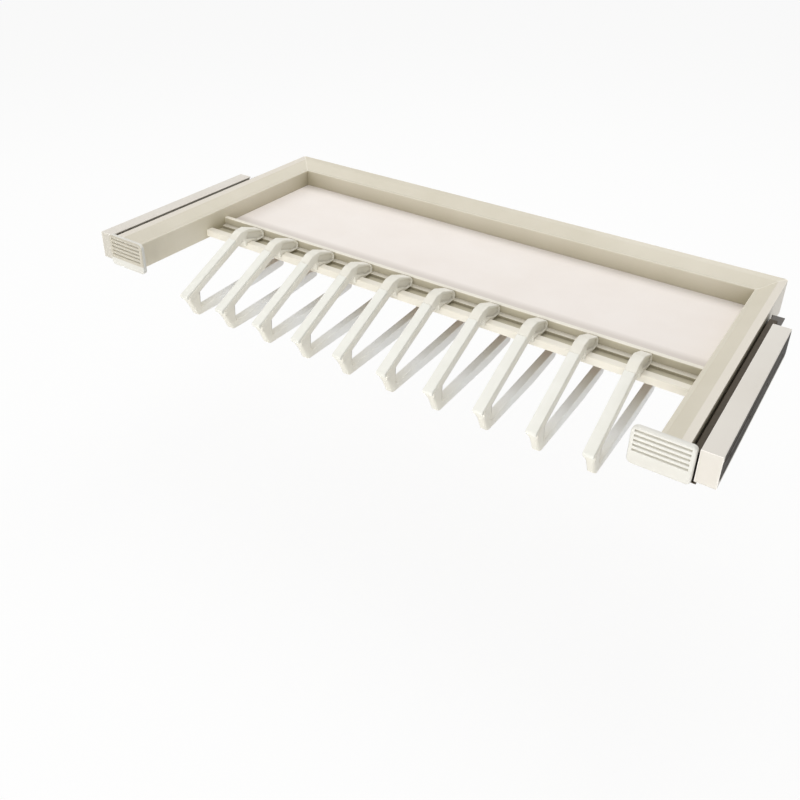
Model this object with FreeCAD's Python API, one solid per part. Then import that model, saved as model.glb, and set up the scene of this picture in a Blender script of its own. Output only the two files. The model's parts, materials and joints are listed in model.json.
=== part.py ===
import FreeCAD, Part
import math
import os

# Pull-out trouser rack for a wardrobe.
# Millimetres. +Z up, +X to the right, the front is towards -Y.
# X = 0 is midway between the cabinet sides, Y = 0 the middle of the depth,
# Z = 0 the lowest point of the hangers.

Vec = FreeCAD.Vector

# ---------------------------------------------------------------- driving sizes

# Whole rack
cabinet_width = 864.0      # clear width between the cabinet sides
rack_depth = 417.0         # grip face to back of the frame
side_space = 31.5          # from a cabinet side to the frame
hanger_drop = 97.0         # frame's inner lip down to the lowest hanger point

# Frame extrusion: a flat lip, a slope, a crown and a rounded shoulder
bar_width = 32.5
bar_height = 38.5          # from the underside up to the rack's level line
lip_fall = 2.2             # the lip under that line
bar_wall = 2.0
lip_width = 5.0
ridge_in = 22.4            # the ridge's distance from the inner face
ridge_rise = 6.2
shoulder_rise = 8.0
shoulder_radius = 0.8
corner_round = 6.0         # rear corners, seen from above
lip_radius = 1.6

# Grips on the arm ends
grip_width = 64.0
grip_height = 45.0
grip_plate = 6.5
grip_inward = 23.5         # how far the plate stands in past the arm
grip_above_lip = 10.0
grip_corner = 8.0
grip_edge = 2.4
groove_count = 5
groove_pitch = 5.7
groove_first = 4.8         # below the top edge
groove_depth = 2.8
groove_width = 2.6
groove_margin = 4.2
plug_length = 18.0
plug_wall = 2.0

# Cross rail that carries the hangers
rail_front = 240.0         # frame's inner back face to the rail's front face
rail_back = 194.0          # and to its back face
rail_height = 35.0         # underside up to the level line
rail_floor = 2.0
rail_front_wall = 3.2
rail_front_drop = 24.8     # lip down to the front wall's top
rail_bead = 8.3            # lip inside the front wall's top, for the hangers' catches
rail_bead_height = 1.8
rail_back_wall = 6.3       # hollow chamber along the tray
rail_skin = 1.5            # the chamber's and the ledge's walls
rail_back_drop = 18.0      # lip down to the back wall's top
ridge_place = 207.2        # front of the low ledge under the hanger noses
ridge_drop = 29.0
tray_shelf = 10.0
boss_radius = 3.0
boss_bore = 1.9
boss_drop = 31.9
boss_front_gap = 4.5       # from the front wall's face to its screw boss

# Tray
tray_board_thick = 3.5
tray_liner_thick = 1.5
tray_gap = 0.3
clip_thick = 1.5
clip_width = 14.0
clip_reach = 14.0
clip_seat = 16.0

# Hangers
hanger_count = 10
row_left_gap = 75.0        # left arm to the first hanger's middle
row_right_gap = 67.0       # last hanger's middle to the right arm
hanger_width = 13.5
pad_thick = 4.0
pad_side_gap = 0.3
nose_recess = 3.0
seat_gap = 0.3             # running gap between a hanger and the rail

# Telescopic runner, three members on ball cages
runner_length = 300.0
runner_thick = 12.0
runner_height = 38.0
runner_mid_drop = 17.5     # lip down to the runner's centre line
steel = 1.2
ball_outer = 1.4
ball_inner = 1.2
ball_gap = 0.05
cage_sheet = 0.5
cage_length = 140.0
balls_per_row = 4
ball_spacing = 40.0
member_gap = 0.4           # between the members' webs and lips

# Side covers and the wall rails that they snap on
cover_sheet = 1.5
cover_top = 6.2            # above the lip
cover_bottom = 32.0        # below the lip
cover_setback = 18.9       # cover's rear end to the runner's rear end
cover_overhang = 2.3       # top wall and front plate reach in over the runner
cover_front_plate = 1.8
wall_rail_height = 20.0
wall_rail_top = 2.0        # below the lip
wall_rail_sheet = 1.5
wall_hole = 4.5
wall_hole_pitch = 72.0
wall_hole_count = 4
access_hole = 9.0
tail_reach = 19.0          # rear bracket behind the runner
screw_end_gap = 16.0       # runner's ends to the nearest screws
screw_front_gap = 48.0     # clear of the cover's front
tail_flange = 5.0
bumper_radius = 3.6

# Screws
screw_radius = 2.0
screw_fit = 0.05
pan_radius = 3.4
pan_height = 2.0
flat_head_radius = 3.2
flat_head = 0.8
rail_screw_length = 22.0

# ---------------------------------------------------------------- worked out

lip = hanger_drop
half_width = cabinet_width / 2
arm_out = half_width - side_space
arm_in = arm_out - bar_width
back_out = rack_depth / 2
back_in = back_out - bar_width
grip_face = -rack_depth / 2
arm_front = grip_face + grip_plate
bar_bottom = lip - bar_height
rail_bottom = lip - rail_height
slide_mid = lip - runner_mid_drop
runner_front = arm_front + cover_front_plate + seat_gap
runner_back = runner_front + runner_length
cover_back = runner_back - cover_setback
tail_screw_y = (cover_back + runner_back) / 2


def solid_box(low, high):
    """A box between two opposite corners."""
    size = [high[i] - low[i] for i in range(3)]
    return Part.makeBox(size[0], size[1], size[2], Vec(*low))


def rod(centre, direction, radius, length):
    return Part.makeCylinder(radius, length, Vec(*centre), Vec(*direction))


def rounded_wire(corners, to_space):
    """A closed outline through corners (a, b, radius), each radius rounded."""
    count = len(corners)
    edges = []
    starts = []
    ends = []
    arcs = []
    for i in range(count):
        here = Vec(corners[i][0], corners[i][1], 0)
        before = Vec(corners[i - 1][0], corners[i - 1][1], 0)
        after = Vec(corners[(i + 1) % count][0], corners[(i + 1) % count][1], 0)
        radius = corners[i][2] if len(corners[i]) > 2 else 0.0
        back = (before - here).normalize()
        ahead = (after - here).normalize()
        turn = math.acos(max(-1.0, min(1.0, back.dot(ahead))))
        if radius <= 0 or abs(turn - math.pi) < 1e-6:
            starts.append(here)
            ends.append(here)
            arcs.append(None)
            continue
        reach = radius / math.tan(turn / 2)
        first = here + back * reach
        last = here + ahead * reach
        inward = (back + ahead).normalize()
        centre = here + inward * (radius / math.sin(turn / 2))
        middle = centre - inward * radius
        starts.append(first)
        ends.append(last)
        arcs.append(middle)
    for i in range(count):
        if arcs[i] is not None:
            edges.append(Part.Arc(to_space(starts[i]), to_space(arcs[i]), to_space(ends[i])).toShape())
        following = starts[(i + 1) % count]
        if (following - ends[i]).Length > 1e-6:
            edges.append(Part.makeLine(to_space(ends[i]), to_space(following)))
    return Part.Wire(edges)


def in_xz(y):
    return lambda p: Vec(p.x, y, p.y)


def in_yz(x):
    return lambda p: Vec(x, p.x, p.y)


def in_xy(z):
    return lambda p: Vec(p.x, p.y, z)


def along_y(wire, y_from, y_to):
    return Part.Face(wire).extrude(Vec(0, y_to - y_from, 0))


def along_x(wire, x_from, x_to):
    return Part.Face(wire).extrude(Vec(x_to - x_from, 0, 0))


def bent_strip(points, sheet, y_from, y_to):
    """A strip of sheet metal that follows points in XZ, drawn out along Y."""
    path = Part.makePolygon([Vec(x, y_from, z) for x, z in points])
    outline = path.makeOffset2D(sheet / 2, 0, True, False, False)
    return outline.Faces[0].extrude(Vec(0, y_to - y_from, 0))


def mirrored(shape):
    """The left-hand twin of a right-hand piece."""
    return shape.mirror(Vec(0, 0, 0), Vec(1, 0, 0))


def group(shapes):
    return shapes[0] if len(shapes) == 1 else Part.makeCompound(shapes)


def spread(count, pitch, middle=0.0):
    return [middle + (i - (count - 1) / 2) * pitch for i in range(count)]


def pan_screw(seat, direction, shank):
    """Pan-head screw: the head stands on the seat, the shank points along direction."""
    way = Vec(*direction)
    base = Vec(*seat)
    head = Part.makeCylinder(pan_radius, pan_height, base - way * pan_height, way)
    head = head.makeChamfer(pan_height * 0.4, [head.Edges[2]])
    body = Part.makeCylinder(screw_radius, shank, base, way)
    return head.fuse(body).removeSplitter()


# ---------------------------------------------------------------- frame

def bar_corners():
    """The frame extrusion's section as (distance from the inner face, height)."""
    return [
        (0.0, -bar_height, 0.6),
        (bar_width, -bar_height, 0.6),
        (bar_width, shoulder_rise, shoulder_radius),
        (ridge_in, ridge_rise, 0.0),
        (lip_width, -lip_fall, 0.0),
        (0.0, -lip_fall, lip_radius),
    ]


def bar_wires(to_space):
    outer = rounded_wire(bar_corners(), to_space)
    inner = outer.makeOffset2D(-bar_wall, 2, False, False, False)
    return outer, inner


def hollow_bar(to_space, run):
    outer, inner = bar_wires(to_space)
    return Part.Face(outer).cut(Part.Face(inner)).Faces[0].extrude(run)


def plan_block(points):
    wire = rounded_wire(points, in_xy(bar_bottom - 5))
    return Part.Face(wire).extrude(Vec(0, 0, bar_height + shoulder_rise + 10))


def corner_trim(side):
    """What the rounding takes off a rear outer corner."""
    x = arm_out - corner_round
    y = back_out - corner_round
    block = solid_box((x, y, bar_bottom - 5), (arm_out + 5, back_out + 5, lip + shoulder_rise + 5))
    block = block.cut(rod((x, y, bar_bottom - 6), (0, 0, 1), corner_round, bar_height + shoulder_rise + 12))
    return block if side > 0 else mirrored(block)


def hanger_places():
    """X of each hanger's middle, evenly spaced between the arms."""
    first = -arm_in + row_left_gap
    pitch = (2 * arm_in - row_left_gap - row_right_gap) / (hanger_count - 1)
    return [first + i * pitch for i in range(hanger_count)]


def boss_places():
    """Y and Z of the cross rail's screw bosses."""
    height = lip - boss_drop
    front = back_in - rail_front + boss_front_gap
    back = back_in - rail_back - rail_back_wall / 2
    return [(front, height), (back, height)]


def arm_screw_places():
    first = arm_front + plug_length + pan_radius + screw_end_gap / 2
    last = runner_back - screw_end_gap
    return [first, (first + last) / 2, last]


def runner_screw_places():
    first = runner_front + screw_front_gap
    last = cover_back - screw_end_gap
    return [first, (first + last) / 2, last]


def corner_screw_places():
    reach = bar_width / 2
    return [(arm_in + reach, back_in - 22.0), (arm_in - 22.0, back_in + reach)]


def clip_places():
    """Where tray clips sit: (x, y, turn of the clip about Z in degrees)."""
    back = [(x, back_in, 0.0) for x in spread(3, arm_in * 0.62)]
    depth = rail_back - 20.0
    side_ys = [back_in - depth * 0.32, back_in - depth * 0.78]
    right = [(arm_in, y, -90.0) for y in side_ys]
    left = [(-arm_in, y, 90.0) for y in side_ys]
    return back + right + left


def clip_holes(radius, low, high):
    """Holes or shanks at the middle of each clip's seat."""
    holes = []
    for x, y, turn in clip_places():
        away = Vec(0, clip_seat * 0.6, 0)
        away = FreeCAD.Rotation(Vec(0, 0, 1), turn).multVec(away)
        holes.append(rod((x + away.x, y + away.y, low), (0, 0, 1), radius, high - low))
    return holes


def right_arm():
    arm = hollow_bar(lambda p: Vec(arm_in + p.x, arm_front, lip + p.y), Vec(0, back_out - arm_front, 0))
    plan = plan_block([(arm_in, arm_front), (arm_out, arm_front), (arm_out, back_out), (arm_in, back_in)])
    arm = arm.common(plan).cut(corner_trim(1))
    cuts = []
    for y, z in boss_places():
        cuts.append(rod((arm_in - 1, y, z), (1, 0, 0), screw_radius + 0.2, bar_wall + 2))
        cuts.append(rod((arm_out - bar_wall - 1, y, z), (1, 0, 0), access_hole / 2 - 0.5, bar_wall + 2))
    for y in arm_screw_places():
        cuts.append(rod((arm_out - bar_wall - 1, y, slide_mid), (1, 0, 0), screw_radius + screw_fit, bar_wall + 2))
    x, y = corner_screw_places()[0]
    cuts.append(rod((x, y, bar_bottom - 1), (0, 0, 1), corner_screw_radius + screw_fit, bar_wall + 2))
    cuts += clip_holes(screw_radius + screw_fit, bar_bottom - 1, bar_bottom + bar_wall + 1)
    return arm.cut(Part.makeCompound(cuts))


corner_screw_radius = 2.5
corner_screw_length = 9.0


def back_rail():
    rail = hollow_bar(lambda p: Vec(-arm_out, back_in + p.x, lip + p.y), Vec(2 * arm_out, 0, 0))
    plan = plan_block([(-arm_in, back_in), (arm_in, back_in), (arm_out, back_out), (-arm_out, back_out)])
    rail = rail.common(plan).cut(corner_trim(1)).cut(corner_trim(-1))
    x, y = corner_screw_places()[1]
    low = bar_bottom - 1
    cuts = [rod((side * x, y, low), (0, 0, 1), corner_screw_radius + screw_fit, bar_wall + 2) for side in (-1, 1)]
    cuts += clip_holes(screw_radius + screw_fit, low, bar_bottom + bar_wall + 1)
    return rail.cut(Part.makeCompound(cuts))


def corner_insert():
    """Cast L that joins an arm to the back rail inside the mitre."""
    gap = bar_wall + seat_gap
    leg = 42.0
    base = bar_bottom + gap
    height = bar_height - lip_fall - 2 * gap - 0.4
    outline = [
        (arm_in + gap, back_in - leg, 1.0),
        (arm_out - gap, back_in - leg, 1.0),
        (arm_out - gap, back_out - gap, 2.0),
        (arm_in - leg, back_out - gap, 1.0),
        (arm_in - leg, back_in + gap, 1.0),
        (arm_in + gap, back_in + gap, 0.6),
    ]
    insert = Part.Face(rounded_wire(outline, in_xy(base))).extrude(Vec(0, 0, height))
    pocket = 6.0
    span = bar_width - 2 * gap - 2 * pocket
    arm_pocket = solid_box(
        (arm_in + gap + pocket, back_in - leg + pocket, base + pocket),
        (arm_in + gap + pocket + span, back_in + gap, base + height + 1),
    )
    rail_pocket = solid_box(
        (arm_in - leg + pocket, back_in + gap + pocket, base + pocket),
        (arm_in - gap, back_in + gap + pocket + span, base + height + 1),
    )
    cuts = [arm_pocket, rail_pocket]
    for x, y in corner_screw_places():
        cuts.append(rod((x, y, base - 1), (0, 0, 1), corner_screw_radius + screw_fit, pocket + 2))
    return insert.cut(Part.makeCompound(cuts))


def corner_screws():
    screws = []
    for side in (-1, 1):
        for x, y in corner_screw_places():
            screw = rod((side * x, y, bar_bottom + 0.4), (0, 0, 1), corner_screw_radius, corner_screw_length)
            socket = rod((side * x, y, bar_bottom + 0.4), (0, 0, 1), 1.3, 2.5)
            screws.append(screw.cut(socket))
    return group(screws)


# ---------------------------------------------------------------- cross rail and tray

def cross_rail():
    front = back_in - rail_front
    back = back_in - rail_back
    floor_top = rail_bottom + rail_floor
    place = in_yz(-arm_in)
    front_top = lip - rail_front_drop
    back_top = lip - rail_back_drop
    back_face = back - rail_back_wall
    ledge = back_in - ridge_place
    ledge_top = lip - ridge_drop
    sections = [
        [(front, rail_bottom, 0.8), (back + tray_shelf, rail_bottom, 0.5),
         (back + tray_shelf, floor_top, 0.5), (front, floor_top)],
        [(front, rail_bottom, 0.8), (front + rail_front_wall, rail_bottom),
         (front + rail_front_wall, front_top - rail_bead_height, 0.3),
         (front + rail_front_wall + rail_bead, front_top - rail_bead_height + 0.3, 0.4),
         (front + rail_front_wall + rail_bead, front_top, 1.0), (front, front_top, 1.4)],
        [(back_face, rail_bottom), (back, rail_bottom), (back, back_top, 1.2), (back_face, back_top, 1.2)],
        [(ledge, rail_bottom), (ledge, ledge_top, 0.6), (back_face + 0.2, ledge_top),
         (back_face + 0.2, ledge_top - rail_skin), (ledge + rail_skin, ledge_top - rail_skin),
         (ledge + rail_skin, rail_bottom)],
    ]
    rail = None
    for corners in sections:
        bar = along_x(rounded_wire(corners, place), -arm_in, arm_in)
        rail = bar if rail is None else rail.fuse(bar)
    rail = rail.cut(solid_box((-arm_in - 1, back_face + rail_skin, floor_top),
                              (arm_in + 1, back - rail_skin, back_top - rail_skin)))
    for y, z in boss_places():
        rail = rail.fuse(rod((-arm_in, y, z), (1, 0, 0), boss_radius, 2 * arm_in))
        web = solid_box((-arm_in, y - boss_radius * 0.7, rail_bottom + 0.5), (arm_in, y + boss_radius * 0.7, z))
        rail = rail.fuse(web)
    bores = [rod((-arm_in - 1, y, z), (1, 0, 0), boss_bore, 2 * arm_in + 2) for y, z in boss_places()]
    return rail.cut(Part.makeCompound(bores)).removeSplitter()


def cross_rail_screws():
    """Self-tapping screws: head inside the arm, shank in the rail's boss."""
    screws = []
    for side in (-1, 1):
        for y, z in boss_places():
            seat = (side * (arm_in + bar_wall), y, z)
            way = (-side, 0, 0)
            base = Vec(*seat)
            head = Part.makeCylinder(pan_radius - 0.4, pan_height, base - Vec(*way) * pan_height, Vec(*way))
            shank = Part.makeCylinder(boss_bore - screw_fit, rail_screw_length, base, Vec(*way))
            screws.append(head.fuse(shank).removeSplitter())
    return group(screws)


def tray_outline(z, thick):
    low_y = back_in - rail_back + tray_gap
    return solid_box((-arm_in + tray_gap, low_y, z), (arm_in - tray_gap, back_in - tray_gap, z + thick))


def tray_board():
    return tray_outline(rail_bottom + rail_floor, tray_board_thick)


def tray_liner():
    return tray_outline(rail_bottom + rail_floor + tray_board_thick, tray_liner_thick)


def tray_clips():
    """Z-shaped clips under the frame: one leg on the bar, one under the board."""
    clips = []
    half = clip_thick / 2
    low = bar_bottom - half
    high = rail_bottom + rail_floor - half
    path = [(clip_seat, low), (-1.6, low), (-1.6, high), (-clip_reach, high)]
    for x, y, turn in clip_places():
        line = Part.makePolygon([Vec(-clip_width / 2, a, b) for a, b in path])
        face = line.makeOffset2D(half, 0, True, False, False).Faces[0]
        clip = face.extrude(Vec(clip_width, 0, 0))
        hole = rod((0, clip_seat * 0.6, low - 3), (0, 0, 1), screw_radius + screw_fit, 6)
        clip = clip.cut(hole)
        clip.rotate(Vec(0, 0, 0), Vec(0, 0, 1), turn)
        clip.translate(Vec(x, y, 0))
        clips.append(clip)
    return group(clips)


def tray_screws():
    screws = []
    seat_z = bar_bottom - clip_thick
    for x, y, turn in clip_places():
        away = FreeCAD.Rotation(Vec(0, 0, 1), turn).multVec(Vec(0, clip_seat * 0.6, 0))
        screws.append(pan_screw((x + away.x, y + away.y, seat_z), (0, 0, 1), 8.0))
    return group(screws)


# ---------------------------------------------------------------- grips

def grip_cap():
    """Moulded grip: a ribbed plate and a hollow plug that fits the arm's end."""
    left = arm_in - grip_inward
    right = left + grip_width
    top = lip + grip_above_lip
    bottom = top - grip_height
    outline = [
        (left, bottom, grip_corner * 0.8),
        (right, bottom, grip_corner * 0.6),
        (right, top, grip_corner * 0.6),
        (left, top, grip_corner),
    ]
    plate = along_y(rounded_wire(outline, in_xz(grip_face)), grip_face, arm_front)
    rim = [edge for edge in plate.Edges if abs(edge.CenterOfMass.y - grip_face) < 0.01]
    plate = plate.makeFillet(grip_edge, rim)
    for i in range(groove_count):
        z = top - groove_first - i * groove_pitch
        groove = [
            (grip_face - 1, z + groove_width / 2 + 0.3),
            (grip_face - 1, z - groove_width / 2 - 0.5),
            (grip_face + groove_depth, z - groove_width / 4, 0.4),
            (grip_face + groove_depth, z + groove_width / 2, 0.4),
        ]
        plate = plate.cut(along_x(rounded_wire(groove, in_yz(left + groove_margin)),
                                  left + groove_margin, right - groove_margin))
    gap = bar_wall + seat_gap
    low = (arm_in + gap, arm_front - 0.5, bar_bottom + gap)
    high = (arm_out - gap, arm_front + plug_length, lip - lip_fall - gap - 0.4)
    plug = solid_box(low, high)
    hollow = solid_box(
        (low[0] + plug_wall, arm_front + 0.5, low[2] + plug_wall),
        (high[0] - plug_wall, high[1] + 1, high[2] - plug_wall),
    )
    return plate.fuse(plug.cut(hollow)).removeSplitter()


# ---------------------------------------------------------------- hangers

# The side view of a hanger, measured from the frame's inner back face (forward)
# and from the lip (down).
nose_back = 203.5
nose_bottom = ridge_drop - seat_gap
nose_face_top = 19.5        # top of the nose's upright rear face
nose_bevel = 5.5            # bevel from there to the nose's top line
nose_foot = 14.0            # flat under the nose
nose_rim = 2.3              # rim around the side recesses
crest = (245.0, 2.2)        # where nose line and arm line meet
crest_back = 9.0            # the crest's rounding reaches this far back
crest_front = 6.0           # and this far forward
crest_ease = 1.0            # nose line under the crest
crest_round = 12.0
arm_slope = math.radians(25.4)
arm_thick = 13.0            # body and pad together
head_length = 20.0          # bare arm between the crest and the pad
fork_inside = 339.0         # inner corner of the fold
fold_reach = 360.0
fold_shoulder = 68.0        # below here the fold's front leans back
fold_lean = 13.0
fold_round = 8.0
lower_bend = 40.0           # radius where the lower arm begins to rise
fold_bottom = hanger_drop
lower_flat_end = 225.0      # the lower arm's underside is level up to here
lower_back = 160.0
lower_top_drop = 86.5       # lower arm's upper face at the fold
lower_back_drop = 78.5
lower_back_thick = 13.0
lower_width = 11.0          # fold and lower arm are narrower than the upper arm
pad_overhang = 6.5
pad_lip = 2.6
clip_leg = 3.8
clip_leg_drop = 28.6
catch_thick = 1.6


def arm_line(reach, depth):
    """A point reach along the upper arm from the crest and depth under its face."""
    forward = crest[0] + reach * math.cos(arm_slope) - depth * math.sin(arm_slope)
    down = crest[1] + reach * math.sin(arm_slope) + depth * math.cos(arm_slope)
    return forward, down


def to_hanger_space(x):
    return lambda p: Vec(x, back_in - p.x, lip - p.y)


def arm_reach_at(forward, depth):
    """How far along the arm its line at depth comes forward to a place."""
    return (forward - crest[0] + depth * math.sin(arm_slope)) / math.cos(arm_slope)


def hanger_body(x):
    wall_front = rail_front + seat_gap
    catch = rail_front - rail_front_wall - seat_gap
    bead_back = catch - rail_bead
    catch_drop = rail_front_drop + rail_bead_height + seat_gap
    slot_top = rail_front_drop - seat_gap
    pad_start = arm_line(head_length, 0.0)
    step = arm_line(head_length, pad_thick)
    fork_top = arm_line(arm_reach_at(fork_inside, arm_thick), arm_thick)
    front_top = arm_line(arm_reach_at(fold_reach, pad_thick), pad_thick)
    leg_root = arm_line(arm_reach_at(wall_front + clip_leg, arm_thick), arm_thick)
    crest_end = arm_line(crest_front / math.cos(arm_slope), crest_ease)
    corners = [
        (nose_back + 1.0, nose_bottom, 2.5),
        (nose_back, nose_face_top, 3.0),
        (nose_back + nose_bevel, nose_face_top - nose_bevel, 5.0),
        (crest[0] - crest_back, crest[1] + crest_ease, crest_round),
        (crest_end[0], crest_end[1] - 2 * crest_ease, crest_round),
        (pad_start[0], pad_start[1]),
        (step[0], step[1]),
        (front_top[0], front_top[1], 1.5),
        (fold_reach - 0.8, fold_shoulder, 6.0),
        (fold_reach - fold_lean, fold_bottom, fold_round),
        (lower_flat_end, fold_bottom, lower_bend),
        (lower_back + 2.5, lower_back_drop + lower_back_thick, 4.0),
        (lower_back, lower_back_drop, 4.0),
        (fork_inside, lower_top_drop, 2.0),
        (fork_top[0], fork_top[1], 2.0),
        (leg_root[0] + 1.5, leg_root[1] + 0.7, 3.0),
        (wall_front + clip_leg, clip_leg_drop, 1.4),
        (wall_front, clip_leg_drop, 1.0),
        (wall_front, slot_top, 1.0),
        (bead_back, slot_top, 0.8),
        (bead_back, catch_drop, 0.2),
        (catch, catch_drop, 0.3),
        (catch, catch_drop + catch_thick, 0.6),
        (bead_back - clip_leg, catch_drop + catch_thick, 2.0),
        (nose_back + nose_foot, nose_bottom, 6.0),
    ]
    left = x - hanger_width / 2
    body = along_x(rounded_wire(corners, to_hanger_space(left)), left, left + hanger_width)
    recess = [
        (nose_back + nose_rim + 0.8, nose_bottom - nose_rim, 2.2),
        (nose_back + nose_rim, nose_face_top + 1.0, 2.2),
        (nose_back + nose_rim + nose_bevel - 0.5, nose_face_top + 1.5 - nose_bevel, 3.0),
        (crest[0] - crest_back + 1.0, crest[1] + crest_ease + nose_rim + 2.6, 4.0),
        (crest[0] - 3.5, slot_top - 7.0, 2.5),
        (bead_back - clip_leg - 0.5, slot_top - 0.8, 2.5),
        (nose_back + nose_foot, nose_bottom - nose_rim, 3.0),
    ]
    right = left + hanger_width
    pocket = along_x(rounded_wire(recess, to_hanger_space(left - 1)), left - 1, left + nose_recess)
    twin = along_x(rounded_wire(recess, to_hanger_space(right - nose_recess)), right - nose_recess, right + 1)
    body = body.cut(pocket).cut(twin)
    ahead = fold_reach + 6
    under = arm_line(arm_reach_at(ahead, arm_thick), arm_thick)
    beside = [
        (ahead, under[1]),
        (ahead, fold_bottom + 3),
        (lower_back - 3, fold_bottom + 3),
        (lower_back - 3, fork_top[1] + 3),
        (fork_inside - 4, fork_top[1] + 3),
        (fork_top[0], fork_top[1], 0.8),
    ]
    narrow = (hanger_width - lower_width) / 2
    flank = along_x(rounded_wire(beside, to_hanger_space(left - 1)), left - 1, left + narrow)
    far_flank = along_x(rounded_wire(beside, to_hanger_space(right - narrow)), right - narrow, right + 1)
    return body.cut(flank).cut(far_flank)


def hanger_pad(x):
    """Soft anti-slip strip on the upper arm, with a rolled end past the fold."""
    end_reach = arm_reach_at(fold_reach + pad_overhang, 0.0)
    start = arm_line(head_length, 0.0)
    start_low = arm_line(head_length, pad_thick)
    front_reach = arm_reach_at(fold_reach, pad_thick)
    lip_in = arm_line(front_reach + seat_gap, pad_thick)
    lip_low = arm_line(front_reach + seat_gap + 0.8, pad_thick + pad_lip)
    tip_low = arm_line(end_reach - 0.6, pad_thick + pad_lip)
    tip_top = arm_line(end_reach, 0.0)
    corners = [
        (start[0], start[1]),
        (start_low[0], start_low[1]),
        (lip_in[0], lip_in[1]),
        (lip_low[0], lip_low[1], 1.0),
        (tip_low[0], tip_low[1], 2.0),
        (tip_top[0], tip_top[1], 3.2),
    ]
    left = x - hanger_width / 2 + pad_side_gap
    return along_x(rounded_wire(corners, to_hanger_space(left)), left, left + hanger_width - 2 * pad_side_gap)


# ---------------------------------------------------------------- telescopic runner

half_runner = runner_height / 2
outer_web = runner_thick - steel / 2
outer_flange = half_runner - steel / 2
outer_race = half_runner - steel
mid_face = outer_race - 2 * ball_outer - 2 * ball_gap       # intermediate member's outside
mid_flange = mid_face - steel / 2
inner_race = mid_face - steel
drawer_face = inner_race - 2 * ball_inner - 2 * ball_gap    # drawer member's outside
drawer_flange = drawer_face - steel / 2
outer_lip = 3.2
mid_lip = 2.0
mid_web = 6.6
drawer_edge = 4.3
outer_ball_at = 5.4
inner_ball_at = 3.8
outer_ball_row = outer_race - ball_gap - ball_outer
inner_ball_row = inner_race - ball_gap - ball_inner
outer_cage_web = 7.6
inner_cage_web = 5.3


def runner_strip(points, sheet, y_from, y_to):
    return bent_strip([(arm_out + u, slide_mid + v) for u, v in points], sheet, y_from, y_to)


def both_flanges(upper):
    """A symmetric section: the upper half's points, then their mirror."""
    return upper + [(u, -v) for u, v in reversed(upper)]


def screw_holes_x(places, x_from, x_to, radius, z):
    return Part.makeCompound([rod((x_from, y, z), (1, 0, 0), radius, x_to - x_from) for y in places])


def cabinet_member():
    upper = [(outer_lip, outer_flange - 2.1), (outer_lip, outer_flange), (outer_web, outer_flange)]
    member = runner_strip(both_flanges(upper), steel, runner_front, runner_back)
    places = runner_screw_places() + [tail_screw_y]
    holes = screw_holes_x(places, arm_out + outer_web - 2, arm_out + runner_thick + 1,
                          screw_radius + screw_fit, slide_mid)
    return member.cut(holes)


def mid_member():
    upper = [(mid_lip, mid_flange - 0.9), (mid_lip, mid_flange), (mid_web, mid_flange)]
    member = runner_strip(both_flanges(upper), steel, runner_front, runner_back)
    windows = []
    for y in spread(2, runner_length * 0.42, (runner_front + runner_back) / 2):
        slot = [(y - 26, slide_mid - 4, 3.9), (y + 26, slide_mid - 4, 3.9),
                (y + 26, slide_mid + 4, 3.9), (y - 26, slide_mid + 4, 3.9)]
        windows.append(along_x(rounded_wire(slot, in_yz(arm_out + mid_web - 2)),
                               arm_out + mid_web - 2, arm_out + mid_web + 2))
    return member.cut(Part.makeCompound(windows))


def drawer_member():
    upper = [(drawer_edge, drawer_flange), (steel / 2, drawer_flange)]
    member = runner_strip(both_flanges(upper), steel, runner_front, runner_back)
    holes = screw_holes_x(arm_screw_places(), arm_out - 1, arm_out + steel + 1,
                          screw_radius + screw_fit, slide_mid)
    return member.cut(holes)


def cage_middle():
    return (runner_front + runner_back) / 2


def ball_places(offset, row):
    return [(y, side * row, offset) for y in spread(balls_per_row, ball_spacing, cage_middle()) for side in (-1, 1)]


def ball_cage(web_at, edge_at, row, ball_at, radius):
    upper = [(edge_at, row), (web_at, row)]
    start = cage_middle() - cage_length / 2
    cage = runner_strip(both_flanges(upper), cage_sheet, start, start + cage_length)
    pockets = []
    for y, v, u in ball_places(ball_at, row):
        pockets.append(rod((arm_out + u, y, slide_mid + v - 1.5), (0, 0, 1), radius + ball_gap, 3.0))
    return cage.cut(Part.makeCompound(pockets))


def balls(row, ball_at, radius):
    placed = []
    for y, v, u in ball_places(ball_at, row):
        placed.append(Part.makeSphere(radius, Vec(arm_out + u, y, slide_mid + v)))
    return group(placed)


def runner_screws():
    """Low-head screws: runner and cover onto the wall rail."""
    screws = []
    inner = arm_out + outer_web - steel / 2
    for side in (-1, 1):
        for y in runner_screw_places():
            head = rod((side * (inner - flat_head), y, slide_mid), (side, 0, 0), flat_head_radius, flat_head)
            shank = rod((side * inner, y, slide_mid), (side, 0, 0), screw_radius, 7.0)
            screws.append(head.fuse(shank).removeSplitter())
    return group(screws)


def arm_screws():
    """Pan-head screws: drawer member onto the arm."""
    screws = []
    for side in (-1, 1):
        for y in arm_screw_places():
            screws.append(pan_screw((side * (arm_out + steel), y, slide_mid), (-side, 0, 0), 8.0))
    return group(screws)


# ---------------------------------------------------------------- covers and wall rails

cover_web_x = arm_out + runner_thick


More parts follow.
